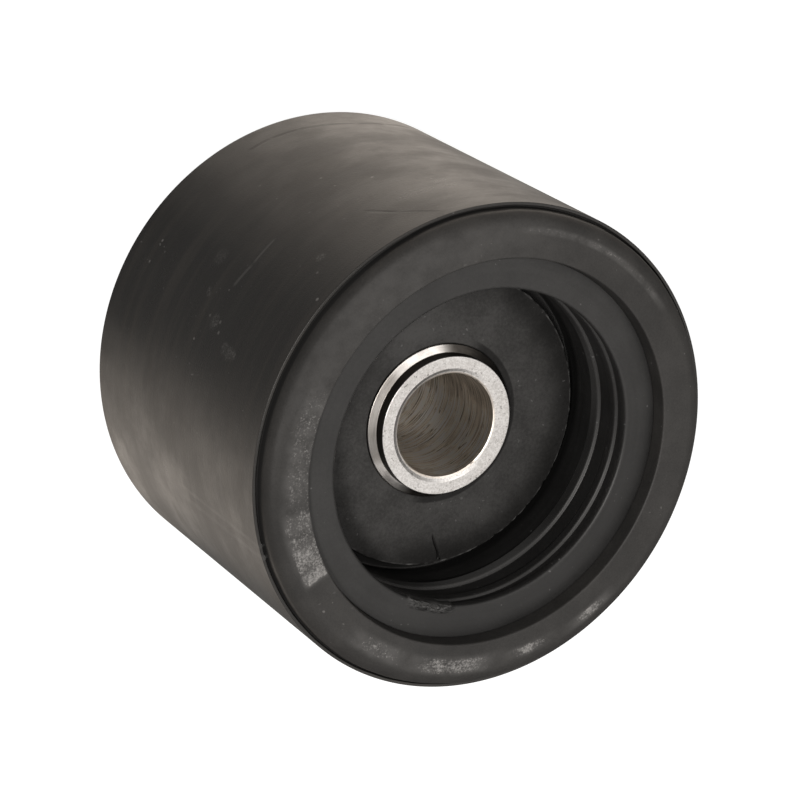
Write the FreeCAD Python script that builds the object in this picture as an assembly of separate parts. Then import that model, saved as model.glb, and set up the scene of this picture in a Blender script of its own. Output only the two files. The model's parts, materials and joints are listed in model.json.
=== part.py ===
import FreeCAD, Part
import math
import os

# Support roller: a rubber tyre on a plastic core that turns on two ball bearings round a steel
# sleeve. The roller stands on its rear rim. +Z runs along its axis, from the rear end to the front
# end with the cracked cover, and Z = 0 is the plane of the rear rim. Lengths are in millimetres
# and angles in degrees, seen from the front and measured from +X towards +Y.

# Each radius below follows from the axle outwards, one wall at a time

# Steel sleeve and collar
axle_radius = 10.0
sleeve_wall = 2.5
nose_wall = 0.85
nose_length = 2.65
nose_bevel = 0.15
flange_height = 2.05
flange_length = 6.5
flange_rounding = 0.5
bore_bevel_width = 1.3
bore_bevel_depth = 0.5

# Ball bearings
ball_radius = 3.97
ball_count = 9
race_gap = 0.05
race_wall = 1.48
ring_wall = 3.3
bearing_width = 12.0
bearing_rounding = 0.6
spacer_step = 0.6
pocket_gap = 0.06
cage_width = 3.0
cage_sheet = 0.4
rivet_radius = 0.4
rivet_head_radius = 0.7
rivet_head_height = 0.3
rivet_head_bevel = 0.15
seal_step = 1.2
seal_thickness = 0.8
seal_web_relief = 0.25
seal_bead = 1.2
seal_inset = 0.15
seal_lip_gap = 0.2

# Covers
cover_thickness = 2.0
cover_rounding = 0.3
cover_gap = 0.4
spigot_length = 1.25
spigot_wall = 1.9

# Plastic core
boss_wall = 5.0
channel_width = 2.3
channel_depth = 2.0
core_wall = 5.45
mouth_undercut = 0.8
mouth_lip_width = 1.4
mouth_rounding = 0.6
first_rib_depth = 4.1
first_rib_width = 1.7
rib_spacing = 4.3
second_rib_width = 2.3
rib_height = 0.6
rib_flank = 0.35
rib_rounding = 0.2
bearing_shoulder_width = 3.0
bearing_shoulder_height = 3.0

# Rubber tyre
tyre_wall = 9.75
tread_width = 67.0
rim_height = 3.0
rim_draft = 0.25
rim_rounding = 0.4
shoulder_rounding = 2.8
edge_land = 0.6
edge_groove_width = 0.7
edge_groove_depth = 0.4

# Crack in the front cover, from its tip out past the cover's edge: distance in from the edge,
# angle and width
crack = [
    (5.8, -82.8, 0.05),
    (5.0, -82.1, 0.25),
    (3.7, -81.1, 0.35),
    (2.5, -80.1, 0.25),
    (1.7, -79.6, 0.4),
    (0.9, -79.9, 0.4),
    (0.3, -79.1, 0.3),
    (-0.5, -78.6, 0.55),
]

# Radii that follow from the walls
sleeve_radius = axle_radius + sleeve_wall
nose_radius = sleeve_radius + nose_wall
flange_radius = sleeve_radius + flange_height
pitch_radius = sleeve_radius + race_wall + race_gap + ball_radius
bearing_radius = pitch_radius + ball_radius + race_gap + race_wall
race_radius = ball_radius + race_gap
inner_ring_radius = sleeve_radius + ring_wall
outer_ring_bore_radius = bearing_radius - ring_wall
spacer_radius = inner_ring_radius - spacer_step
seal_radius = outer_ring_bore_radius + seal_step
seal_lip_radius = inner_ring_radius + seal_lip_gap
pocket_radius = ball_radius + pocket_gap
cage_inner_radius = pitch_radius - cage_width / 2
cage_outer_radius = pitch_radius + cage_width / 2
bearing_shoulder_radius = bearing_radius - bearing_shoulder_height
cover_bore_radius = flange_radius + cover_gap
spigot_bore_radius = bearing_radius - spigot_wall
boss_radius = bearing_radius + boss_wall
wall_radius = boss_radius + channel_width
mouth_radius = wall_radius - mouth_undercut
rib_radius = wall_radius - rib_height
core_radius = wall_radius + core_wall
rim_bore_radius = core_radius + rim_draft
tread_radius = core_radius + tyre_wall

# Distances along the axis from the middle of the roller
bearing_inner_face = bearing_shoulder_width / 2
bearing_outer_face = bearing_inner_face + bearing_width
bearing_centre = bearing_inner_face + bearing_width / 2
boss_top = bearing_outer_face + spigot_length
cover_top = boss_top + cover_thickness
channel_bottom = boss_top - channel_depth
sleeve_end = bearing_outer_face + flange_length
flange_top = sleeve_end - nose_length
core_face = tread_width / 2
rim_face = core_face + rim_height
first_rib_front = core_face - first_rib_depth
first_rib_back = first_rib_front - first_rib_width
second_rib_front = first_rib_back - rib_spacing
second_rib_back = second_rib_front - second_rib_width

# Distances along the axis from the middle of a bearing
seal_outer_face = bearing_width / 2 - seal_inset
seal_inner_face = seal_outer_face - seal_thickness

# Height of the middle of the roller, which stands on its rear rim
middle = rim_face

origin = FreeCAD.Vector(0, 0, 0)
axis = FreeCAD.Vector(0, 0, 1)


def rounded_corner(before, corner, after, rounding):
    """Start, middle and end of the arc that rounds one corner of a profile."""
    back = (before - corner).normalize()
    ahead = (after - corner).normalize()
    half_angle = back.getAngle(ahead) / 2
    setback = rounding / math.tan(half_angle)
    centre_distance = rounding / math.sin(half_angle)
    bisector = (back + ahead).normalize()
    start = corner + back * setback
    middle_point = corner + bisector * (centre_distance - rounding)
    end = corner + ahead * setback
    return start, middle_point, end


def profile_face(profile, height, side):
    """Face in the XZ plane inside a profile of (radius, distance along the axis, rounding)."""
    corners = [FreeCAD.Vector(radius, 0, height + side * along) for radius, along, rounding in profile]
    arcs = []
    for index, corner in enumerate(corners):
        rounding = profile[index][2]
        if rounding > 0:
            after = corners[(index + 1) % len(corners)]
            arcs.append(rounded_corner(corners[index - 1], corner, after, rounding))
        else:
            arcs.append((corner, corner, corner))
    edges = []
    for index, (start, middle_point, end) in enumerate(arcs):
        if profile[index][2] > 0:
            edges.append(Part.Arc(start, middle_point, end).toShape())
        next_start = arcs[(index + 1) % len(arcs)][0]
        edges.append(Part.LineSegment(end, next_start).toShape())
    return Part.Face(Part.Wire(edges))


def turned(profile, height=middle, side=1):
    """Solid of revolution round the axis; side is 1 for the front end and -1 for the rear."""
    solid = profile_face(profile, height, side).revolve(origin, axis, 360)
    if solid.Volume < 0:
        solid.reverse()
    return solid


def mirrored(half_profile):
    """Whole profile from the half in front of the mid-plane."""
    other_half = [(radius, -along, rounding) for radius, along, rounding in reversed(half_profile)]
    return half_profile + other_half


def around(shape, count):
    """Compound of copies of a shape, spread evenly round the axis."""
    copies = []
    for index in range(count):
        copy = shape.copy()
        copy.rotate(origin, axis, index * 360 / count)
        copies.append(copy)
    return Part.makeCompound(copies)


def on_circle(radius, angle, height):
    """Point at a radius and angle from the axis."""
    turn = math.radians(angle)
    return FreeCAD.Vector(radius * math.cos(turn), radius * math.sin(turn), height)


def tyre():
    """Rubber tyre: straight tread with a fine groove inside each edge, then a raised rim."""
    groove_outer_radius = tread_radius - edge_land
    groove_inner_radius = groove_outer_radius - edge_groove_width
    groove_bottom = core_face - edge_groove_depth
    return turned(
        mirrored(
            [
                (core_radius, core_face, 0),
                (rim_bore_radius, rim_face, rim_rounding),
                (groove_inner_radius, rim_face, shoulder_rounding),
                (groove_inner_radius, groove_bottom, 0),
                (groove_outer_radius, groove_bottom, 0),
                (groove_outer_radius, core_face, 0),
                (tread_radius, core_face, 0),
            ]
        )
    )


def core():
    """Plastic core: a ribbed recess at each end, with a channel round the boss of the bearing seat."""
    return turned(
        mirrored(
            [
                (bearing_shoulder_radius, bearing_inner_face, 0),
                (bearing_radius, bearing_inner_face, 0),
                (bearing_radius, boss_top, 0),
                (boss_radius, boss_top, 0),
                (boss_radius, channel_bottom, 0),
                (wall_radius, channel_bottom, 0),
                (wall_radius, second_rib_back - rib_flank, 0),
                (rib_radius, second_rib_back, rib_rounding),
                (rib_radius, second_rib_front, rib_rounding),
                (wall_radius, second_rib_front + rib_flank, 0),
                (wall_radius, first_rib_back - rib_flank, 0),
                (rib_radius, first_rib_back, rib_rounding),
                (rib_radius, first_rib_front, rib_rounding),
                (wall_radius, first_rib_front + rib_flank, 0),
                (wall_radius, core_face - mouth_lip_width - mouth_undercut, 0),
                (mouth_radius, core_face - mouth_lip_width, 0),
                (mouth_radius, core_face, mouth_rounding),
                (core_radius, core_face, 0),
            ]
        )
    )


def cover(side):
    """Disc on the end of the boss, with a spigot in the bearing seat."""
    return turned(
        [
            (cover_bore_radius, boss_top, 0),
            (spigot_bore_radius, boss_top, 0),
            (spigot_bore_radius, bearing_outer_face, 0),
            (bearing_radius, bearing_outer_face, 0),
            (bearing_radius, boss_top, 0),
            (boss_radius, boss_top, 0),
            (boss_radius, cover_top, cover_rounding),
            (cover_bore_radius, cover_top, cover_rounding),
        ],
        side=side,
    )


def crack_gap():
    """Thin jagged prism through the cover's plate, above the boss."""
    left = []
    right = []
    for inward, angle, width in crack:
        radius = boss_radius - inward
        half_turn = math.degrees(width / 2 / radius)
        left.append(on_circle(radius, angle + half_turn, middle + boss_top))
        right.append(on_circle(radius, angle - half_turn, middle + boss_top))
    corners = left + right[::-1] + left[:1]
    return Part.Face(Part.makePolygon(corners)).extrude(axis * (2 * cover_thickness))


def nose_and_flange():
    """Outline from the sleeve's end face over its nose and down the flange to the bearing."""
    return [
        (nose_radius - nose_bevel, sleeve_end, 0),
        (nose_radius, sleeve_end - nose_bevel, 0),
        (nose_radius, flange_top, 0),
        (flange_radius, flange_top, flange_rounding),
        (flange_radius, bearing_outer_face, 0),
    ]


def sleeve():
    """Turned sleeve with a flange against the front bearing and a bevel at each mouth of its bore."""
    bevel_radius = axle_radius + bore_bevel_width
    bevel_start = sleeve_end - bore_bevel_depth
    return turned(
        [
            (axle_radius, -bevel_start, 0),
            (axle_radius, bevel_start, 0),
            (bevel_radius, sleeve_end, 0),
            *nose_and_flange(),
            (sleeve_radius, bearing_outer_face, 0),
            (sleeve_radius, -sleeve_end, 0),
            (bevel_radius, -sleeve_end, 0),
        ]
    )


def rear_collar():
    """Collar pressed on the sleeve against the rear bearing, with the same nose and flange."""
    return turned(
        [
            (sleeve_radius, sleeve_end, 0),
            *nose_and_flange(),
            (sleeve_radius, bearing_outer_face, 0),
        ],
        side=-1,
    )


def bearing_spacer():
    """Plain ring between the two inner rings."""
    return turned(mirrored([(sleeve_radius, bearing_inner_face, 0), (spacer_radius, bearing_inner_face, 0)]))


def inner_ring(height):
    """Inner ring with its ball race."""
    ring = turned(
        mirrored(
            [
                (sleeve_radius, bearing_width / 2, bearing_rounding),
                (inner_ring_radius, bearing_width / 2, 0),
            ]
        ),
        height,
    )
    return ring.cut(race(height))


def outer_ring(height):
    """Outer ring with its ball race and a step for the seal at each face."""
    ring = turned(
        mirrored(
            [
                (outer_ring_bore_radius, seal_inner_face, 0),
                (seal_radius, seal_inner_face, 0),
                (seal_radius, bearing_width / 2, 0),
                (bearing_radius, bearing_width / 2, bearing_rounding),
            ]
        ),
        height,
    )
    return ring.cut(race(height))


def race(height):
    """Torus that both ball races are cut with."""
    return Part.makeTorus(pitch_radius, race_radius, FreeCAD.Vector(0, 0, height), axis)


def seal(height, side):
    """Rubber seal: a bead in the outer ring's step, a thinner web and a lip over the inner ring."""
    web_face = seal_outer_face - seal_web_relief
    return turned(
        [
            (seal_lip_radius, seal_inner_face, 0),
            (seal_lip_radius, seal_outer_face, 0),
            (seal_lip_radius + seal_bead, seal_outer_face, 0),
            (seal_lip_radius + seal_bead, web_face, 0),
            (seal_radius - seal_bead, web_face, 0),
            (seal_radius - seal_bead, seal_outer_face, 0),
            (seal_radius, seal_outer_face, 0),
            (seal_radius, seal_inner_face, 0),
        ],
        height,
        side,
    )


def balls(height):
    """Row of balls on the pitch circle."""
    return around(Part.makeSphere(ball_radius, on_circle(pitch_radius, 0, height)), ball_count)


def cage_half(height, side):
    """Pressed half of the cage: flat lands between the balls and a round cup over each ball."""
    cup_radius = pocket_radius + cage_sheet
    cup_band = turned(
        [
            (cage_inner_radius, 0, 0),
            (cage_outer_radius, 0, 0),
            (cage_outer_radius, cup_radius, 0),
            (cage_inner_radius, cup_radius, 0),
        ],
        height,
        side,
    )
    lands = turned(
        [
            (cage_inner_radius, 0, 0),
            (cage_outer_radius, 0, 0),
            (cage_outer_radius, cage_sheet, 0),
            (cage_inner_radius, cage_sheet, 0),
        ],
        height,
        side,
    )
    ball_place = on_circle(pitch_radius, 0, height)
    cups = cup_band.common(around(Part.makeSphere(cup_radius, ball_place), ball_count))
    pockets = around(Part.makeSphere(pocket_radius, ball_place), ball_count)
    return lands.fuse(cups).cut(pockets).cut(rivets(height)).removeSplitter()


def rivets(height):
    """Row of rivets through the lands, halfway between the balls."""
    head_top = cage_sheet + rivet_head_height
    rivet = turned(
        mirrored(
            [
                (0, head_top, 0),
                (rivet_head_radius - rivet_head_bevel, head_top, 0),
                (rivet_head_radius, head_top - rivet_head_bevel, 0),
                (rivet_head_radius, cage_sheet, 0),
                (rivet_radius, cage_sheet, 0),
            ]
        ),
        0,
    )
    rivet.translate(on_circle(pitch_radius, 180 / ball_count, height))
    return around(rivet, ball_count)


def build():
    """Every piece of the roller by name."""
    pieces = {
        "tyre": tyre(),
        "core": core(),
        "front_cover": cover(1).cut(crack_gap()),
        "rear_cover": cover(-1),
        "inner_sleeve": sleeve(),
        "rear_collar": rear_collar(),
        "bearing_spacer": bearing_spacer(),
    }
    for end, side in [("front", 1), ("rear", -1)]:
        height = middle + side * bearing_centre
        pieces[end + "_inner_ring"] = inner_ring(height)
        pieces[end + "_outer_ring"] = outer_ring(height)
        pieces[end + "_balls"] = balls(height)
        pieces[end + "_cage_outer_half"] = cage_half(height, side)
        pieces[end + "_cage_inner_half"] = cage_half(height, -side)
        pieces[end + "_cage_rivets"] = rivets(height)
        pieces[end + "_outer_seal"] = seal(height, side)
        pieces[end + "_inner_seal"] = seal(height, -side)
    return pieces


os.makedirs("parts", exist_ok=True)
for name, shape in build().items():
    shape.exportStep("parts/" + name + ".step")
    print(name, len(shape.Solids), shape.isValid(), round(shape.Volume, 2))
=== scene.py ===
import json
import bpy
import numpy as np
from mathutils import Matrix, Vector


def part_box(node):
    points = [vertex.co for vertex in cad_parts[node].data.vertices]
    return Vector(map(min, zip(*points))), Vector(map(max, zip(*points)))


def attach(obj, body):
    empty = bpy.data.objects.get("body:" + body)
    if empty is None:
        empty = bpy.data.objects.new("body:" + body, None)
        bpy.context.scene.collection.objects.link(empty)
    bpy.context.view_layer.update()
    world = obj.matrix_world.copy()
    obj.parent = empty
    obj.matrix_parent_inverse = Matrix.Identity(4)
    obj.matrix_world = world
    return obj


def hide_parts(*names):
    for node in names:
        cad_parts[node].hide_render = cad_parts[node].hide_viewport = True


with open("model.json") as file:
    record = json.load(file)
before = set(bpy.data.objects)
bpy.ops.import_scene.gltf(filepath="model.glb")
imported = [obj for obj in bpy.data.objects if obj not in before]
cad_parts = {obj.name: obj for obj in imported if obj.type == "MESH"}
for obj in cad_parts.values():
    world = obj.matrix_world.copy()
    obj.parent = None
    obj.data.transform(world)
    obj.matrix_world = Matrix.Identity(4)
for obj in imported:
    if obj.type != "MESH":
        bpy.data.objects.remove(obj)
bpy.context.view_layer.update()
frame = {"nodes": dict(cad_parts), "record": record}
mm = 0.001
print("frame loaded")

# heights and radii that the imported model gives, in metres
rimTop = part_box("tyre")[1].z
middle = rimTop / 2
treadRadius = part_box("tyre")[1].x
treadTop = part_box("core")[1].z
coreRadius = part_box("core")[1].x
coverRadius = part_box("rear_cover")[1].x
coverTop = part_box("front_cover")[1].z
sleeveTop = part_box("inner_sleeve")[1].z
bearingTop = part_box("front_outer_ring")[1].z
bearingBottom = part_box("front_outer_ring")[0].z
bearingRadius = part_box("front_outer_ring")[1].x
# longest step along a rounded corner, and how close to a corner a straight run has its first point
arcStep = 0.25 * mm
cornerGuard = 0.15 * mm
# share of the slower noise where two are mixed, and the range that the mix is spread over
slowShare = 0.6
mottleRange = (0.35, 0.65)


def profileLine(corners, spacing, arcSteps):
    # a closed line through (radius, height, rounding) corners: each corner becomes a tangent arc of its
    # rounding, each straight run gets a point close to both of its ends and one about every spacing between
    # them; a fourth number in a corner is the spacing of the run that follows it
    points = np.array([[corner[0], corner[1]] for corner in corners])
    starts, ends, arcs = [], [], []
    for k, corner in enumerate(corners):
        rounding = corner[2]
        here = points[k]
        back = points[k - 1] - here
        ahead = points[(k + 1) % len(points)] - here
        back = back / np.linalg.norm(back)
        ahead = ahead / np.linalg.norm(ahead)
        half = np.arccos(np.clip(back @ ahead, -1, 1)) / 2
        bisector = (back + ahead) / np.linalg.norm(back + ahead)
        centre = here + bisector * rounding / np.sin(half)
        first = here + back * rounding / np.tan(half) - centre
        last = here + ahead * rounding / np.tan(half) - centre
        sweep = np.pi - 2 * half
        arcPoints = max(arcSteps, int(rounding / arcStep) + 1)
        t = np.linspace(0, 1, arcPoints + 1)[:, None]
        arc = centre + (np.sin((1 - t) * sweep) * first + np.sin(t * sweep) * last) / np.sin(sweep)
        arcs.append(arc)
        starts.append(arc[0])
        ends.append(arc[-1])
    line = []
    for k, arc in enumerate(arcs):
        line.append(arc)
        begin, finish = ends[k], starts[(k + 1) % len(arcs)]
        run = np.linalg.norm(finish - begin)
        guard = min(cornerGuard, run / 4)
        gap = corners[k][3] if len(corners[k]) > 3 else spacing
        steps = max(1, int(np.ceil((run - 2 * guard) / gap)))
        along = np.linspace(guard, run - guard, steps + 1) / run
        line.append(begin + along[:, None] * (finish - begin))
    line = np.concatenate(line)
    area = np.sum(line[:, 0] * np.roll(line[:, 1], -1) - np.roll(line[:, 0], -1) * line[:, 1])
    return line if area > 0 else line[::-1]


def bothEnds(halfProfile):
    # the half in front of the middle, then its mirror image behind it
    rear = [(corner[0], 2 * middle - corner[1], corner[2]) for corner in reversed(halfProfile)]
    return halfProfile + rear


def turnAngles(turns, fineArcs):
    # even steps round the axis, with closer ones inside each (start, end, step) arc in degrees
    angle = np.arange(turns) * 360 / turns - 180
    for start, end, gap in fineArcs:
        outside = angle[(angle < start) | (angle > end)]
        angle = np.concatenate([outside, np.arange(start, end, gap)])
    return np.radians(np.sort(angle))


def turnedPiece(name, corners, turns, spacing=1.2 * mm, arcSteps=4, marks=None, patches=None, fineArcs=()):
    # a closed profile turned round the axis: point (i, j) is (r_i cos a_j, r_i sin a_j, z_i), and marks moves
    # r and z where the surface is damaged; patches gives a value for each point, kept as the attribute "wear"
    line = profileLine(corners, spacing, arcSteps)
    angle = turnAngles(turns, fineArcs)
    count = len(angle)
    r = np.repeat(line[:, :1], count, axis=1)
    z = np.repeat(line[:, 1:], count, axis=1)
    a = np.repeat(angle[None, :], len(line), axis=0)
    if marks:
        r, z = marks(r, z, a)
    co = np.stack([r * np.cos(a), r * np.sin(a), z], axis=-1).reshape(-1, 3)
    i, j = np.meshgrid(np.arange(len(line)), np.arange(count), indexing="ij")
    iNext, jNext = (i + 1) % len(line), (j + 1) % count
    ring = [i * count + j, i * count + jNext, iNext * count + jNext, iNext * count + j]
    mesh = bpy.data.meshes.new(name)
    mesh.from_pydata(co.tolist(), [], np.stack(ring, axis=-1).reshape(-1, 4).tolist())
    mesh.polygons.foreach_set("use_smooth", np.ones(len(mesh.polygons), bool))
    if patches:
        wear = mesh.attributes.new("wear", "FLOAT", "POINT")
        wear.data.foreach_set("value", patches(r, z, a).astype(np.float32).ravel())
    mesh.update()
    piece = bpy.data.objects.new(name, mesh)
    bpy.context.scene.collection.objects.link(piece)
    print(name, len(mesh.polygons), "faces")
    return piece


def around(angle, centre):
    # signed angle from centre, in degrees, between -180 and 180
    return (np.degrees(angle) - centre + 180) % 360 - 180


def step(value, low, high):
    # smooth rise from 0 at low to 1 at high
    t = np.clip((value - low) / (high - low), 0, 1)
    return t * t * (3 - 2 * t)


def ripple(angle, waves, seed):
    # a sum of sines round the axis with whole wave counts and seeded phases, about -1 to 1:
    # gain * sum of sin(n_k a + phase_k) / count, where the gain makes up for sines that cancel
    gain = 1.6
    rng = np.random.default_rng(seed)
    height = np.zeros_like(angle)
    for count in waves:
        height = height + np.sin(count * angle + rng.uniform(0, 2 * np.pi)) / len(waves)
    return height * gain


def bandPatch(angle, radius, centre, halfWidth, low, high, softAngle, softRadius):
    # 1 inside a piece of ring, falling to 0 over the soft widths
    across = step(halfWidth - np.abs(around(angle, centre)), 0, softAngle)
    return across * step(radius, low - softRadius, low) * (1 - step(radius, high, high + softRadius))


# node helpers
def addNode(tree, kind, inputs=None, **settings):
    node = tree.nodes.new(kind)
    for key, value in settings.items():
        setattr(node, key, value)
    for key, value in (inputs or {}).items():
        if isinstance(value, bpy.types.NodeSocket):
            tree.links.new(value, node.inputs[key])
        else:
            node.inputs[key].default_value = value
    return node


def sums(tree, operation, first, second=0.0, clamp=False):
    node = addNode(tree, "ShaderNodeMath", {0: first, 1: second}, operation=operation, use_clamp=clamp)
    return node.outputs[0]


def product(tree, first, second, clamp=False):
    return sums(tree, "MULTIPLY", first, second, clamp)


def total(tree, first, *others):
    for other in others:
        first = sums(tree, "ADD", first, other)
    return first


def vectorNode(tree, operation, first, second):
    return addNode(tree, "ShaderNodeVectorMath", {0: first, 1: second}, operation=operation)


def dot(tree, first, second):
    return vectorNode(tree, "DOT_PRODUCT", first, second).outputs["Value"]


def ramp(tree, value, low, high, toLow=0.0, toHigh=1.0):
    inputs = {"Value": value, "From Min": low, "From Max": high, "To Min": toLow, "To Max": toHigh}
    return addNode(tree, "ShaderNodeMapRange", inputs, interpolation_type="SMOOTHSTEP").outputs[0]


def crossing(tree, value, level, inner, outer):
    # thin line where value passes through level: 1 within inner of it, 0 beyond outer
    off = sums(tree, "ABSOLUTE", sums(tree, "SUBTRACT", value, level))
    return ramp(tree, off, inner, outer, 1.0, 0.0)


def blendColours(tree, factor, first, second):
    inputs = {0: factor, 6: first, 7: second}
    return addNode(tree, "ShaderNodeMix", inputs, data_type="RGBA", blend_type="MIX").outputs[2]


def grey(value, warmth=0.0):
    return (value * (1 + warmth), value, value * (1 - warmth), 1)


def newMaterial(name):
    material = bpy.data.materials.new(name)
    material.use_nodes = True
    tree = material.node_tree
    tree.nodes.clear()
    shader = addNode(tree, "ShaderNodeBsdfPrincipled")
    addNode(tree, "ShaderNodeOutputMaterial", {"Surface": shader.outputs[0]})
    place = addNode(tree, "ShaderNodeTexCoord").outputs["Object"]
    return material, tree, shader, place


def axisPlace(tree, place):
    # radius, direction round the axis and height of the point, from its Object coordinates
    parts = addNode(tree, "ShaderNodeSeparateXYZ", {0: place})
    flat = addNode(tree, "ShaderNodeCombineXYZ", {0: parts.outputs[0], 1: parts.outputs[1]}).outputs[0]
    radius = addNode(tree, "ShaderNodeVectorMath", {0: flat}, operation="LENGTH").outputs["Value"]
    way = addNode(tree, "ShaderNodeVectorMath", {0: flat}, operation="NORMALIZE").outputs[0]
    return radius, way, parts.outputs[2]


def turnedPlace(tree, axis, roundScale, radiusScale, heightScale):
    # direction round the axis, radius and height, each times its own scale, with no seam at the back
    radius, way, height = axis
    swung = addNode(tree, "ShaderNodeVectorMath", {0: way, "Scale": roundScale}, operation="SCALE").outputs[0]
    depth = total(tree, product(tree, radius, radiusScale), product(tree, height, heightScale))
    lift = addNode(tree, "ShaderNodeCombineXYZ", {2: depth}).outputs[0]
    return vectorNode(tree, "ADD", swung, lift).outputs[0]


def onAxis(radius, degrees, height):
    # point at a radius, an angle round the axis and a height, all in metres and degrees
    angle = np.radians(degrees)
    return (float(radius * np.cos(angle)), float(radius * np.sin(angle)), float(height))


def spot(tree, place, centre, size):
    # 1 inside 0.6 of the size round centre, falling to 0 at 1.5 times the size
    away = vectorNode(tree, "DISTANCE", place, centre).outputs["Value"]
    return ramp(tree, away, size * 0.6, size * 1.5, 1.0, 0.0)


def lightest(tree, values):
    most = values[0]
    for value in values[1:]:
        most = sums(tree, "MAXIMUM", most, value)
    return most


def noise(tree, vector, scale, detail=2.0, rough=0.5):
    inputs = {"Vector": vector, "Scale": scale, "Detail": detail, "Roughness": rough}
    return addNode(tree, "ShaderNodeTexNoise", inputs).outputs["Fac"]


def allNoises(tree, place, axis, look):
    # every noise that a look lists, by name: grains are the same in all directions, lines run round the axis
    noises = {name: noise(tree, place, *row) for name, row in look["grains"].items()}
    for name, (roundScale, radiusScale, heightScale, detail, rough) in look["lines"].items():
        turned = turnedPlace(tree, axis, roundScale, radiusScale, heightScale)
        noises[name] = noise(tree, turned, 1.0, detail, rough)
    return noises


def mixed(tree, slow, fine):
    return total(tree, product(tree, slow, slowShare), product(tree, fine, 1 - slowShare))


def dusted(tree, noises, look):
    # grains of dust, which lie where the blotches are pale
    grains = ramp(tree, noises["dust"], *look["dustGrains"])
    return product(tree, grains, ramp(tree, noises["blotches"], *look["dustPlaces"]))


def wearValue(tree):
    return addNode(tree, "ShaderNodeAttribute", attribute_name="wear").outputs["Fac"]


def bumped(tree, shader, height, strength, distance, below=None):
    inputs = {"Height": height, "Strength": strength, "Distance": distance}
    if below is not None:
        inputs["Normal"] = below
    normal = addNode(tree, "ShaderNodeBump", inputs).outputs[0]
    tree.links.new(normal, shader.inputs["Normal"])
    return normal


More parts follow.
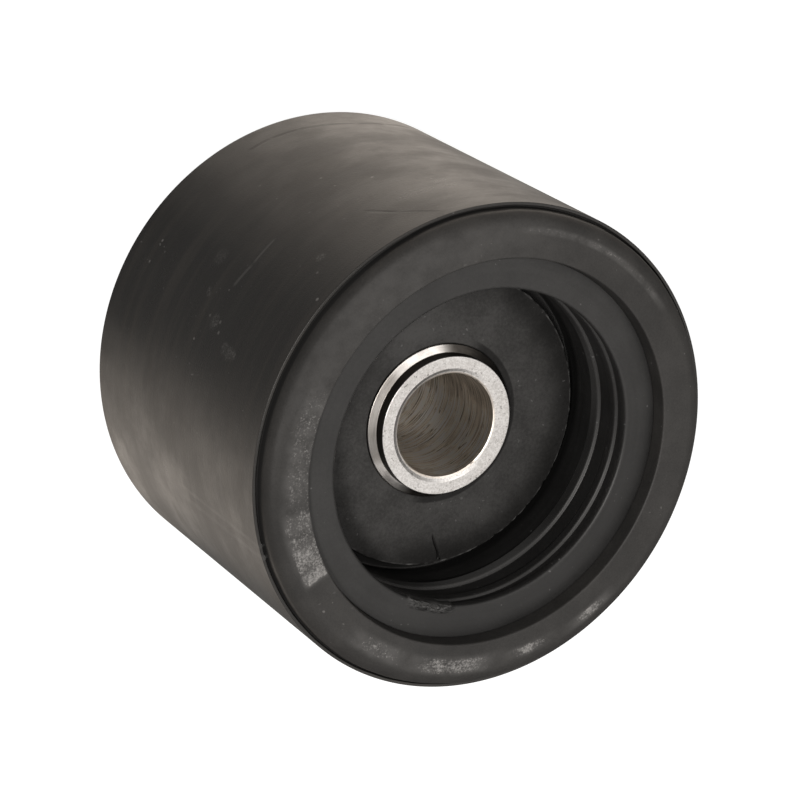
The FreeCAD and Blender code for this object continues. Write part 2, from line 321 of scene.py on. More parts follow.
# tyre: straight tread, a fine groove inside each edge, a rounded shoulder and a flat raised rim
tyreLook = {
    "rimBore": 36.5 * mm, "rimRounding": 0.4 * mm, "shoulder": 2.8 * mm, "edgeLand": 0.6 * mm,
    "grooveWidth": 0.42 * mm, "grooveDepth": 0.8 * mm, "grooveWander": 0.035 * mm,
    # the groove stands open wider on one side: centre angle, reach in degrees, by how much
    "openGroove": (160.0, 50.0, 0.32 * mm),
    "edgeRounding": 0.12 * mm, "turns": 450, "rimSpacing": 0.4 * mm, "treadSpacing": 2.0 * mm,
    # closer steps round the axis at the torn bits: start, end and step in degrees
    "fineArcs": [(-159.5, -152.5, 0.15)],
    "treadBlack": 0.013, "rimBlack": 0.0165, "warmth": 0.05, "roughness": 0.36, "rimRoughness": 0.54,
    "specularLevel": 0.42, "scuffHaze": 0.075, "scuffGrey": 0.24, "scuffWarmth": 0.02, "scuffShare": 0.85,
    "markGrey": 0.22, "markWarmth": 0.03, "strokeShare": 0.8, "grooveShadeShare": 0.9, "deepestBlack": 0.002,
    # depths below the tread between which the finish of the rim turns into that of the tread
    "treadFade": (1.6 * mm, 1.0 * mm),
    # noises: scale (round the axis, outward and along it for lines), detail, roughness
    "grains": {
        "blotches": (75.0, 4.0, 0.6), "grain": (3200.0, 2.0, 0.6), "dust": (1500.0, 0.0),
        "speckled": (2400.0, 3.0, 0.8), "patchy": (260.0, 3.0, 0.6),
    },
    "lines": {
        "fine": (2.2, 2600.0, 2600.0, 3.0, 0.6), "broad": (1.3, 420.0, 420.0, 4.0, 0.55),
        "brushed": (16.0, 900.0, 900.0, 4.0, 0.7), "smudges": (1.9, 60.0, 60.0, 7.0, 0.68),
    },
    # ranges: from, to, and the values that they turn into where those aren't 0 and 1
    "dustGrains": (0.8, 0.85), "dustPlaces": (0.5, 0.62), "dustShare": 0.3,
    "hazeRange": (0.25, 0.7, 0.15, 1.0), "scuffRange": (0.73, 0.95), "scuffFade": (0.0, 0.4),
    "scuffLift": 0.36, "broadRange": (0.4, 0.75), "broadPale": 1.7, "rimTones": (0.65, 1.4),
    "largeMark": 0.45 * mm, "rubbedAndLitRange": (0.46, 0.62, 0.15, 1.6),
    "broadRough": (0.3, 0.7, -0.02, 0.02), "smudgeRough": (0.35, 0.65, -0.075, 0.075),
    "shoulderFade": (41.8 * mm, 43.0 * mm), "shoulderRough": 0.16,
    "scuffRough": 0.2, "strokeRough": 0.08, "grooveShadeRough": 0.4,
    # painted shade in the groove: radii below its inner side, and heights over the edge of the tread
    "grooveShadeRadii": (0.75 * mm, 0.45 * mm), "grooveShadeHeights": (0.3 * mm, 0.8 * mm),
    # bumps: strength and height
    "fineBump": (0.25, 0.04 * mm), "grainBump": (0.6, 0.055 * mm), "scuffBump": (0.3, 0.05 * mm),
    "strokeBump": (0.5, 0.03 * mm),
    # scuffs on the rim: centre angle, half width, inner and outer radius, soft widths, strength
    "scuffs": [
        (-178.0, 30.0, 36.9 * mm, 40.2 * mm, 16.0, 2.2 * mm, 0.62),
        (-157.0, 14.0, 36.9 * mm, 41.0 * mm, 9.0, 1.8 * mm, 0.72),
        (-149.5, 7.0, 37.0 * mm, 41.2 * mm, 2.5, 0.9 * mm, 0.87),
        (-145.4, 2.4, 37.0 * mm, 40.8 * mm, 1.2, 0.6 * mm, 0.98),
        (-48.5, 11.0, 40.7 * mm, 41.7 * mm, 11.0, 0.9 * mm, 1.0),
        (-68.0, 10.5, 40.2 * mm, 41.2 * mm, 10.5, 1.0 * mm, 0.95),
        (-91.0, 20.0, 39.8 * mm, 41.6 * mm, 16.0, 1.4 * mm, 0.84),
        (-115.0, 15.0, 39.4 * mm, 41.4 * mm, 12.0, 1.3 * mm, 0.64),
        (68.0, 29.0, 41.4 * mm, 42.0 * mm, 9.0, 0.5 * mm, 0.6),
        # the broad, weak patch round 130 degrees is painted light: a haze that lightens that side of the rim
        (130.0, 55.0, 37.2 * mm, 42.6 * mm, 25.0, 1.5 * mm, 0.25),
    ],
    # torn bits of flash across the groove: angle, half width in degrees
    "tornBits": [(-157.5, 0.3), (-154.5, 0.4)],
    # pale specks on the tread: angle, height in millimetres, size, strength
    "specks": [
        (151.8, 12.0, 0.26 * mm, 0.5), (157.5, 11.8, 0.24 * mm, 0.45), (118.5, 35.0, 0.24 * mm, 0.35),
        (110.7, 43.5, 0.26 * mm, 0.5), (118.5, 40.5, 0.2 * mm, 0.3), (135.8, 59.0, 0.9 * mm, 0.2),
        (139.2, 62.0, 0.25 * mm, 0.3), (144.2, 67.8, 0.3 * mm, 0.5), (160.0, 40.5, 0.25 * mm, 0.25),
        (160.0, 44.8, 0.3 * mm, 0.3), (162.2, 45.8, 0.3 * mm, 0.3), (166.5, 38.5, 0.24 * mm, 0.4),
        (164.4, 49.8, 1.0 * mm, 0.15), (164.8, 51.8, 1.2 * mm, 0.13), (164.6, 53.5, 0.8 * mm, 0.16),
        (160.6, 43.0, 1.3 * mm, 0.12), (155.4, 36.0, 0.6 * mm, 0.12), (156.2, 36.7, 0.5 * mm, 0.12),
        (147.5, 33.0, 1.6 * mm, 0.08), (128.4, 24.6, 0.2 * mm, 0.25), (101.0, 51.5, 0.22 * mm, 0.35),
    ],
    # faint dark strokes: angle and height in millimetres of both ends, width
    "darkStrokes": [
        (122.5, 10.0, 115.0, 9.4, 0.7 * mm), (116.0, 9.5, 108.0, 10.1, 0.7 * mm),
        (109.0, 10.0, 101.0, 11.3, 0.8 * mm), (102.5, 11.1, 94.0, 12.5, 0.8 * mm),
        (95.0, 12.4, 86.0, 12.2, 0.8 * mm), (87.0, 12.3, 77.0, 9.6, 0.8 * mm),
        (121.0, 54.2, 116.0, 61.8, 0.4 * mm), (116.5, 61.2, 109.2, 68.5, 0.3 * mm),
    ],
    # light scratches along the tread: angle and height in millimetres of both ends, width, strength
    "scratches": [
        (152.2, 42.5, 144.8, 43.6, 0.55 * mm, 0.13), (145.6, 43.5, 137.0, 43.4, 0.45 * mm, 0.15),
        (120.9, 55.8, 116.0, 62.4, 0.4 * mm, 0.12),
    ],
}


def grooveSides():
    outer = treadRadius - tyreLook["edgeLand"]
    return outer, outer - tyreLook["grooveWidth"]


def tyreMarks(r, z, a):
    # the groove wanders and opens a little, and torn bits of flash stand in it
    look = tyreLook
    grooveOuter, grooveInner = grooveSides()
    lip = treadTop + 0.12 * mm
    front = z > middle
    openAt, reach, opening = look["openGroove"]
    opened = step(reach - np.abs(around(a, openAt)), 0.0, 0.6 * reach)
    innerSide = front & (r < grooveInner + look["grooveWidth"] / 2)
    inGroove = (r > grooveInner - 0.1 * mm) & (r < grooveOuter + 0.1 * mm) & front
    pulled = opening * opened * step(r, grooveInner - 1.6 * mm, grooveInner - 0.05 * mm)
    r = np.where(innerSide, r - pulled, r)
    r = np.where(inGroove, r + look["grooveWander"] * ripple(a, [5, 11, 19, 31, 47], 5), r)
    for centre, halfWidth in look["tornBits"]:
        near = step(halfWidth - np.abs(around(a, centre)), -0.3, 0.1)
        z = np.where(inGroove & (z < lip), z + near * (lip - z), z)
    return r, z


def tyreWear(r, z, a):
    # the scuffs lie on the front rim only, and the torn bits are pale inside the groove
    look = tyreLook
    wear = np.zeros_like(r)
    for centre, halfWidth, low, high, softAngle, softRadius, strength in look["scuffs"]:
        patch = bandPatch(a, r, centre, halfWidth, low, high, softAngle, softRadius)
        wear = np.maximum(wear, strength * patch)
    wear = wear * step(z, treadTop + 1 * mm, treadTop + 2 * mm)
    for centre, halfWidth in look["tornBits"]:
        near = step(halfWidth - np.abs(around(a, centre)), -0.4, 0.0)
        ring = (r > treadRadius - 1.1 * mm) & (z > middle) & (z < treadTop + 0.3 * mm)
        wear = np.where(ring, np.maximum(wear, 0.45 * near), wear)
    return wear


def makeTyre():
    look = tyreLook
    grooveOuter, grooveInner = grooveSides()
    grooveFloor = treadTop - look["grooveDepth"]
    soft = look["edgeRounding"]
    corners = bothEnds([
        (coreRadius, treadTop, soft),
        (look["rimBore"], rimTop, look["rimRounding"], look["rimSpacing"]),
        (grooveInner, rimTop, look["shoulder"]),
        (grooveInner, grooveFloor, soft),
        (grooveOuter, grooveFloor, soft),
        (grooveOuter, treadTop, soft),
        (treadRadius, treadTop, soft),
    ])
    return turnedPiece("tyreSkin", corners, look["turns"], look["treadSpacing"], marks=tyreMarks,
                       patches=tyreWear, fineArcs=look["fineArcs"])


def scuffShares(tree, noises, look):
    # a scuff is a haze that thins out, with specks and brushed lines where it is strong
    wear = wearValue(tree)
    haze = product(tree, wear, ramp(tree, noises["patchy"], *look["hazeRange"]), clamp=True)
    broken = mixed(tree, noises["speckled"], noises["brushed"])
    scuffed = ramp(tree, total(tree, broken, product(tree, wear, look["scuffLift"])), *look["scuffRange"])
    return haze, product(tree, scuffed, ramp(tree, wear, *look["scuffFade"]), clamp=True)


def paleMarks(tree, place, noises, look):
    # specks and scratches on the tread; a large speck is a rubbed place, broken up by the grain
    marks = []
    for angle, height, size, share in look["specks"]:
        mark = product(tree, spot(tree, place, onAxis(treadRadius, angle, height * mm), size), share)
        if size > look["largeMark"]:
            mark = product(tree, mark, ramp(tree, noises["speckled"], *look["rubbedAndLitRange"]))
        marks.append(mark)
    for *stretch, share in look["scratches"]:
        marks.append(product(tree, scratch(tree, place, *stretch), share))
    return lightest(tree, marks)


def grooveShade(tree, radius, height, look):
    # painted shade: 1 on the inner side of the edge grooves, up to the start of the rounded shoulder
    grooveOuter, grooveInner = grooveSides()
    low, high = look["grooveShadeRadii"]
    inner = ramp(tree, radius, grooveInner - low, grooveInner - high)
    outer = ramp(tree, radius, grooveOuter - 0.05 * mm, grooveOuter, 1.0, 0.0)
    start, end = look["grooveShadeHeights"]
    lower = ramp(tree, height, treadTop + start, treadTop + end, 1.0, 0.0)
    return product(tree, product(tree, inner, outer), lower)


def rubberMaterial():
    look = tyreLook
    warmth = look["warmth"]
    material, tree, shader, place = newMaterial("wornBlackRubber")
    axis = axisPlace(tree, place)
    radius, height = axis[0], axis[2]
    noises = allNoises(tree, place, axis, look)
    fadeStart, fadeEnd = look["treadFade"]
    onTread = ramp(tree, radius, treadRadius - fadeStart, treadRadius - fadeEnd)
    haze, scuffed = scuffShares(tree, noises, look)
    # the tread is blacker than the moulded rims, and both vary in slow patches and in fine mottle
    paler = ramp(tree, noises["broad"], *look["broadRange"])
    black = look["treadBlack"]
    tread = blendColours(tree, paler, grey(black, warmth), grey(black * look["broadPale"], warmth * 2))
    mottle = ramp(tree, mixed(tree, noises["blotches"], noises["speckled"]), *mottleRange)
    darkRim, paleRim = [grey(look["rimBlack"] * tone, warmth) for tone in look["rimTones"]]
    body = blendColours(tree, onTread, blendColours(tree, mottle, darkRim, paleRim), tread)
    scuffColour = grey(look["scuffGrey"], look["scuffWarmth"])
    dust = product(tree, dusted(tree, noises, look), look["dustShare"])
    worn = blendColours(tree, dust, body, scuffColour)
    worn = blendColours(tree, haze, worn, grey(look["scuffHaze"], look["scuffWarmth"]))
    worn = blendColours(tree, product(tree, scuffed, look["scuffShare"]), worn, scuffColour)
    pale = paleMarks(tree, place, noises, look)
    worn = blendColours(tree, pale, worn, grey(look["markGrey"], look["markWarmth"]))
    strokes = lightest(tree, [scratch(tree, place, *stroke) for stroke in look["darkStrokes"]])
    paintedShade = grooveShade(tree, radius, height, look)
    # dark strokes, then painted shade that darkens the inner side of the edge grooves
    for share, strength in ((strokes, look["strokeShare"]), (paintedShade, look["grooveShadeShare"])):
        worn = blendColours(tree, product(tree, share, strength), worn, grey(look["deepestBlack"]))
    tree.links.new(worn, shader.inputs["Base Color"])
    streaks = total(tree, ramp(tree, noises["broad"], *look["broadRough"]),
                    ramp(tree, noises["smudges"], *look["smudgeRough"]))
    plain = ramp(tree, onTread, 0.0, 1.0, look["rimRoughness"], look["roughness"])
    onShoulder = ramp(tree, radius, *look["shoulderFade"])
    rounded = product(tree, onShoulder, ramp(tree, onTread, 0.0, 1.0, look["shoulderRough"], 0.0))
    rough = total(tree, plain, rounded, streaks, product(tree, scuffed, look["scuffRough"]),
                  product(tree, strokes, look["strokeRough"]), product(tree, paintedShade, look["grooveShadeRough"]))
    tree.links.new(rough, shader.inputs["Roughness"])
    shader.inputs["Specular IOR Level"].default_value = look["specularLevel"]
    normal = bumped(tree, shader, noises["fine"], *look["fineBump"])
    normal = bumped(tree, shader, noises["grain"], *look["grainBump"], normal)
    normal = bumped(tree, shader, scuffed, *look["scuffBump"], normal)
    bumped(tree, shader, sums(tree, "SUBTRACT", 1.0, strokes), *look["strokeBump"], normal)
    return material


def scratch(tree, place, startAngle, startHeight, endAngle, endHeight, width):
    # thin line between two points of the tread, heights in millimetres: how far the point is from the
    # chord, faded at both ends, and only on the chord's side of the axis
    start = Vector(onAxis(treadRadius, startAngle, startHeight * mm))
    end = Vector(onAxis(treadRadius, endAngle, endHeight * mm))
    length = (end - start).length
    way = (end - start).normalized()
    radial = onAxis(1.0, (startAngle + endAngle) / 2, 0.0)
    side = way.cross(Vector(radial)).normalized()
    fromStart = vectorNode(tree, "SUBTRACT", place, tuple(start)).outputs[0]
    along = dot(tree, fromStart, tuple(way))
    off = sums(tree, "ABSOLUTE", dot(tree, fromStart, tuple(side)))
    near = ramp(tree, off, width * 0.4, width, 1.0, 0.0)
    fadeOut = ramp(tree, along, length * 0.8, length, 1.0, 0.0)
    inside = product(tree, ramp(tree, along, 0.0, length * 0.2), fadeOut)
    facing = ramp(tree, dot(tree, place, radial), 0.0, treadRadius / 2)
    return product(tree, product(tree, near, inside), facing)


# core: face, recess with two ribs, channel round the boss, seats of the two bearings
coreLook = {
    "mouth": 30.0 * mm, "mouthRounding": 0.6 * mm, "wall": 30.8 * mm, "rib": 30.2 * mm,
    # ribs: depths of their front and back below the tread's edge
    "firstRib": (4.1 * mm, 5.8 * mm), "secondRib": (10.1 * mm, 12.4 * mm), "ribRounding": 0.38 * mm,
    "flank": 0.35 * mm, "lipWidth": 1.4 * mm, "channelDepth": 2.0 * mm, "shoulderRadius": 20.5 * mm,
    "edgeRounding": 0.12 * mm,
    "turns": 320, "faceSpacing": 0.4 * mm, "wallSpacing": 4 * mm, "bossHeight": 2.0 * mm,
    # closer steps round the axis at the torn mark: start, end and step in degrees
    "fineArcs": [(-113.0, -88.0, 0.18)],
    "black": 0.013, "roughness": 0.5, "specularLevel": 0.46, "paleWear": 0.2,
    # direction of the side darkened by painted shade, in degrees, and the height below which painted shade
    # darkens the channel
    "shadedAt": -50.0, "shadedShare": 0.45, "shadedBelow": 51.5 * mm, "paintedShade": [],
    # painted highlights on the second rib: middle angle, reach in degrees, strength
    "litRibStretches": [(-70.0, 42.0, 0.8), (24.0, 30.0, 0.45)],
    # torn moulding mark at the mouth: centre angle, half width, how far the flash hangs inward; the ridge
    # behind it runs from one distance outside the mouth to another
    "tornMouth": (-100.5, 10.5, 0.45 * mm), "tornSoft": 2.6, "ridgeHeight": 0.16 * mm,
    "ridgePath": (0.2 * mm, 1.15 * mm), "ridgeWander": 0.26 * mm,
    # wrinkles on the mark: scales round the axis, outward and along it, thin pale lines and bump
    "wrinkles": (9.0, 750.0, 300.0), "wrinkleLine": (0.5, 0.01, 0.045), "wrinkleBump": (1.0, 0.5 * mm),
    "tornShare": 0.42, "tornGrey": 0.08,
}


def tornPlace(a):
    # at an angle: share of the torn mark, its ragged edge, and the radius of the ridge behind it
    look = coreLook
    centre, halfWidth = look["tornMouth"][:2]
    off = around(a, centre)
    inside = step(halfWidth - np.abs(off), 0.0, look["tornSoft"])
    ragged = ripple(a, [13, 23, 41, 61], 11)
    start, end = look["ridgePath"]
    line = look["mouth"] + start + (end - start) * step(off, -9.0, 9.0) + look["ridgeWander"] * ragged
    return inside, ragged, line


def bell(off, width):
    # exp(-(off / width)^2)
    return np.exp(-(off / width) ** 2)


def coreMarks(r, z, a):
    # flash hangs into the mouth with a ragged edge, and a ridge wanders behind it
    look = coreLook
    inside, ragged, line = tornPlace(a)
    hang = look["tornMouth"][2]
    onFront = z < treadTop + 0.05 * mm
    atMouth = (z > treadTop - look["lipWidth"] - 0.1 * mm) & onFront & (r < 33.5 * mm)
    reach = 1 - step(r, look["mouth"] + 0.1 * mm, look["mouth"] + 1.6 * mm)
    r = np.where(atMouth, r - inside * reach * hang * (1 + 0.2 * ragged), r)
    onFace = (z > treadTop - 0.6 * mm) & onFront & (r < 34 * mm)
    lift = look["ridgeHeight"] * bell(r - line, 0.17 * mm)
    return r, np.where(onFace, z + inside * lift, z)


def coreWearAndRibHighlight(r, z, a):
    # the torn mark is pale along its ridge, and the second rib is painted paler along two stretches as a
    # painted highlight
    look = coreLook
    inside, ragged, line = tornPlace(a)
    torn = bell(r - line, 0.22 * mm) * inside * (0.3 + 0.3 * ragged)
    torn = torn * (z > treadTop - 0.7 * mm) * (r < 34 * mm)
    ribFront, ribBack = look["secondRib"]
    depth = treadTop - z
    onRib = step(look["rib"] + 0.3 * mm - r, 0.0, 0.2 * mm)
    onRib = onRib * (depth > ribFront - 0.5 * mm) * (depth < ribBack + 0.3 * mm)
    # painted highlight: the whole rib a little paler, more along the listed stretches
    litSide = 0.15
    for middleAngle, reach, strength in look["litRibStretches"]:
        litSide = litSide + strength * step(reach - np.abs(around(a, middleAngle)), 0.0, reach * 0.8)
    return np.maximum(torn, onRib * litSide)


def makeCore():
    look = coreLook
    soft = look["edgeRounding"]
    bossTop = coverTop - look["bossHeight"]
    channelFloor = bossTop - look["channelDepth"]
    firstFront, firstBack = [treadTop - depth for depth in look["firstRib"]]
    secondFront, secondBack = [treadTop - depth for depth in look["secondRib"]]
    corners = bothEnds([
        (look["shoulderRadius"], bearingBottom, soft),
        (bearingRadius, bearingBottom, soft),
        (bearingRadius, bossTop, soft),
        (coverRadius, bossTop, soft),
        (coverRadius, channelFloor, 3 * soft),
        (look["wall"], channelFloor, 3 * soft),
        (look["wall"], secondBack - look["flank"], soft),
        (look["rib"], secondBack, look["ribRounding"]),
        (look["rib"], secondFront, look["ribRounding"]),
        (look["wall"], secondFront + look["flank"], soft),
        (look["wall"], firstBack - look["flank"], soft),
        (look["rib"], firstBack, look["ribRounding"]),
        (look["rib"], firstFront, look["ribRounding"]),
        (look["wall"], firstFront + look["flank"], soft),
        (look["wall"], treadTop - look["lipWidth"] - (look["wall"] - look["mouth"]), soft),
        (look["mouth"], treadTop - look["lipWidth"], soft, look["faceSpacing"]),
        (look["mouth"], treadTop, look["mouthRounding"], look["faceSpacing"]),
        (coreRadius, treadTop, soft),
    ])
    return turnedPiece("coreSkin", corners, look["turns"], look["wallSpacing"], 2, coreMarks, coreWearAndRibHighlight,
                       look["fineArcs"])


# finish that the core and the covers share; ranges are from, to, and the values that they turn into
plasticFinish = {
    "grains": {
        "blotches": (95.0, 4.0, 0.6), "grain": (3000.0, 2.0, 0.6), "dust": (1400.0, 0.0),
        "fine": (1500.0, 3.0, 0.8),
    },
    "lines": {"rings": (1.5, 900.0, 900.0, 3.0, 0.6)},
    "dustGrains": (0.79, 0.84), "dustPlaces": (0.48, 0.6), "dustShare": 0.28, "paleGrey": 0.2,
    "tones": (0.7, 1.35), "toneWarmth": 0.01, "deepestBlack": 0.001, "shadedRange": (-0.2, 0.9),
    "sideRange": (0.0, 0.25), "deepShadeFade": 1.5 * mm, "deepShadeShare": 0.8, "roughSpread": 0.05,
    "ringBump": (0.16, 0.05 * mm), "grainBump": (0.4, 0.04 * mm),
}


def plasticMaterial(name, look):
    finish = plasticFinish
    material, tree, shader, place = newMaterial(name)
    axis = axisPlace(tree, place)
    radius, way, height = axis
    noises = allNoises(tree, place, axis, finish)
    # near-black colour that the painted shade below blends towards
    paintedShade = grey(finish["deepestBlack"])
    mottle = ramp(tree, mixed(tree, noises["blotches"], noises["fine"]), *mottleRange)
    blacks = [grey(look["black"] * tone, finish["toneWarmth"]) for tone in finish["tones"]]
    body = blendColours(tree, mottle, *blacks)
    # painted shade: one side is darkened, falling off towards the other
    towards = dot(tree, way, onAxis(1.0, look["shadedAt"], 0.0))
    dark = ramp(tree, towards, *finish["shadedRange"], 0.0, look["shadedShare"])
    body = blendColours(tree, dark, body, paintedShade)
    # painted shade: darker below a height, down in the channel round the boss
    fadeEnd = look["shadedBelow"] + finish["deepShadeFade"]
    deep = ramp(tree, height, look["shadedBelow"], fadeEnd, finish["deepShadeShare"], 0.0)
    body = blendColours(tree, deep, body, paintedShade)
    # bands of painted shade: near the cover's outer edge under the recess wall, and the nose's painted shadow
    # beside the sleeve
    for start, end, share, otherShare in look["paintedShade"]:
        band = ramp(tree, radius, start, end, 0.0, share)
        side = ramp(tree, towards, *finish["sideRange"], otherShare, 1.0)
        body = blendColours(tree, product(tree, band, side), body, paintedShade)
    pale = grey(finish["paleGrey"])
    worn = blendColours(tree, product(tree, dusted(tree, noises, finish), finish["dustShare"]), body, pale)
    # pale wear from the attribute, which on the core also holds the second rib's painted highlight
    worn = blendColours(tree, product(tree, wearValue(tree), look["paleWear"], clamp=True), worn, pale)
    normal = bumped(tree, shader, noises["rings"], *finish["ringBump"])
    normal = bumped(tree, shader, noises["grain"], *finish["grainBump"], normal)
    if "tornMouth" in look:
        folds, lines = tornLines(tree, axis, look)
        worn = blendColours(tree, product(tree, lines, look["tornShare"]), worn, grey(look["tornGrey"]))
        bumped(tree, shader, folds, *look["wrinkleBump"], normal)
    tree.links.new(worn, shader.inputs["Base Color"])
    smooth, rough = look["roughness"] - finish["roughSpread"], look["roughness"] + finish["roughSpread"]
    tree.links.new(ramp(tree, noises["rings"], 0.3, 0.7, smooth, rough), shader.inputs["Roughness"])
    shader.inputs["Specular IOR Level"].default_value = look["specularLevel"]
    return material


def tornLines(tree, axis, look):
    # wrinkles beside the mouth where the moulding tore: their height, and thin pale lines along them
    radius, way, height = axis
    centre, halfWidth = look["tornMouth"][:2]
    towards = dot(tree, way, onAxis(1.0, centre, 0.0))
    inside = ramp(tree, towards, np.cos(np.radians(halfWidth)), np.cos(np.radians(halfWidth * 0.6)))
    mouth = look["mouth"]
    band = product(tree, ramp(tree, radius, mouth - 0.3 * mm, mouth + 0.2 * mm),
                   ramp(tree, radius, mouth + 0.7 * mm, mouth + 1.9 * mm, 1.0, 0.0))
    band = product(tree, band, ramp(tree, height, treadTop - 0.9 * mm, treadTop - 0.5 * mm))
    inside = product(tree, inside, band)
    waves = noise(tree, turnedPlace(tree, axis, *look["wrinkles"]), 1.0, 3.0, 0.6)
    folds = ramp(tree, waves, 0.35, 0.65)
    lines = crossing(tree, waves, *look["wrinkleLine"])
    return product(tree, folds, inside), product(tree, lines, inside)


# covers: thin disc on the boss with a spigot in the bearing seat; the front one is cracked at its edge
coverLook = {
    "bore": 14.84 * mm, "boreBevel": (0.2 * mm, 0.15 * mm), "thickness": 2.0 * mm, "rounding": 0.3 * mm,
    "spigotBore": 21.6 * mm, "edgeRounding": 0.1 * mm, "turns": 512, "faceSpacing": 0.3 * mm,
    "wallSpacing": 2 * mm,
    # closer steps round the axis at the crack: start, end and step in degrees
    "fineArcs": [(-85.5, -76.0, 0.1)],
    "black": 0.037, "roughness": 0.55, "specularLevel": 0.1, "paleWear": 0.6,
    # direction of the side darkened by painted shade, in degrees, and bands of painted shade: from radius, to
    # radius, share on the shaded side, share of that on the other side
    "shadedAt": -14.0, "shadedShare": 0.1, "shadedBelow": 0.0,
    "paintedShade": [(22.0 * mm, 27.5 * mm, 0.6, 0.3), (16.35 * mm, 15.95 * mm, 0.65, 0.0)],
    # crack: how far in from the edge, angle, width there, in millimetres and degrees
    "crack": [
        (-0.6, -78.6, 0.6), (0.3, -79.1, 0.35), (0.9, -79.9, 0.42), (1.7, -79.6, 0.42), (2.5, -80.1, 0.28),
        (3.7, -81.1, 0.38), (5.0, -82.1, 0.28), (5.8, -82.8, 0.08),
    ],
    "crackDepth": 1.1 * mm, "crackNotch": 0.9 * mm, "crackSoft": 0.09 * mm, "edgeBand": 0.35 * mm,
    "unevenness": 0.05 * mm, "chipDepth": 0.22 * mm,
    # chips lie round this direction: centre angle, reach in degrees
    "chipped": (-40.0, 30.0),
}


def crackShare(r, a):
    # 1 inside the crack, whose middle line and width follow the list from the edge inward
    rows = np.array(coverLook["crack"])
    inward = (coverRadius - r) / mm
    centre = np.interp(inward, rows[:, 0], rows[:, 1])
    width = np.interp(inward, rows[:, 0], rows[:, 2]) * mm
    off = r * np.abs(np.radians(around(a, centre)))
    side = width * 0.42
    gap = 1 - step(off, side, side + coverLook["crackSoft"])
    return gap * (inward < rows[-1, 0]) * (inward > rows[0, 0])


def coverMarks(r, z, a):
    # the crack cuts into the face and the edge, and the outer edge is uneven, with shallow chips
    look = coverLook
    cut = crackShare(r, a)
    atEdge = r > coverRadius - look["edgeBand"]
    onFace = z > coverTop - look["edgeBand"]
    uneven = look["unevenness"] * ripple(a, [9, 23, 41, 67, 113], 3)
    centre, reach = look["chipped"]
    chips = look["chipDepth"] * np.clip(ripple(a, [37, 59, 89, 131], 9) - 0.35, 0, 1)
    chips = chips * step(reach - np.abs(around(a, centre)), 0, 0.4 * reach)
    moved = np.where(atEdge & onFace, r + uneven - chips, r)
    moved = np.where(atEdge, moved - look["crackNotch"] * cut, moved)
    return moved, np.where(onFace & ~atEdge, z - look["crackDepth"] * cut, z)


def coverWear(r, z, a):
    # pale broken edge where the disc is chipped
    edge = step(r, coverRadius - 0.4 * mm, coverRadius - 0.1 * mm) * (z > coverTop - 0.5 * mm)
    return edge * np.clip(0.35 + 0.6 * ripple(a, [13, 29, 53, 97], 21), 0, 1)


def makeCover(name, side):
    look = coverLook
    soft = look["edgeRounding"]
    bossTop = coverTop - look["thickness"]
    fine = look["faceSpacing"] if side > 0 else look["wallSpacing"]
    bevelWide, bevelDeep = look["boreBevel"]
    frontCorners = [
        (look["bore"], bossTop, soft),
        (look["spigotBore"], bossTop, soft),
        (look["spigotBore"], bearingTop, soft),
        (bearingRadius, bearingTop, soft),
        (bearingRadius, bossTop, soft),
        (coverRadius, bossTop, soft, fine),
        (coverRadius, coverTop, look["rounding"], fine),
        (look["bore"] + bevelWide, coverTop, soft / 2),
        (look["bore"], coverTop - bevelDeep, soft / 2),
    ]
    corners = [(corner[0], middle + side * (corner[1] - middle)) + corner[2:] for corner in frontCorners]
    damage = {}
    if side > 0:
        damage = {"marks": coverMarks, "patches": coverWear, "fineArcs": look["fineArcs"]}
    return turnedPiece(name, corners, look["turns"], look["wallSpacing"], **damage)


